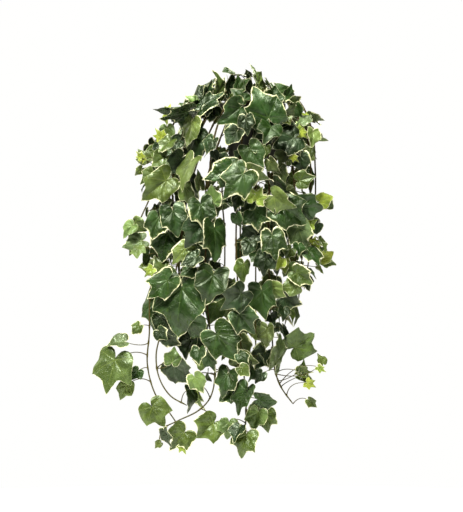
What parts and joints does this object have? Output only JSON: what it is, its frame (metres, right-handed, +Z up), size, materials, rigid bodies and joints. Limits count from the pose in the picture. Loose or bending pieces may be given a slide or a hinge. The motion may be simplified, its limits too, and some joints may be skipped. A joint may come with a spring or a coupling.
{
  "type": "potted ivy",
  "caption": "Potted variegated ivy whose long leafy stems arch over the rim of a small hanging pot and trail far below it.",
  "frame": {"origin": "on the pot's axis, level with the underside of its rim", "axes": "+Z up, -Y towards the viewer of the front"},
  "size_m": [0.4444, 0.3201, 0.7138],
  "materials": {
    "pot": "satin",
    "soil": "matte",
    "foliage": "satin"
  },
  "bodies": {
    "root": {"pot": "pot", "soil": "soil", "vine_shoulder_left": "foliage", "vine_long_left": "foliage", "vine_inner_left": "foliage", "vine_front_left": "foliage", "vine_front_middle": "foliage", "vine_front_right": "foliage", "vine_inner_right": "foliage", "vine_outer_right": "foliage", "vine_shoulder_right": "foliage", "vine_crown_left": "foliage", "vine_crown_middle": "foliage", "vine_crown_right": "foliage", "vine_back_1": "foliage", "vine_back_2": "foliage", "vine_back_3": "foliage", "vine_back_4": "foliage", "vine_back_5": "foliage", "vine_back_6": "foliage", "vine_back_7": "foliage", "vine_back_8": "foliage", "vine_back_9": "foliage", "vine_back_10": "foliage"}
  },
  "joints": []
}
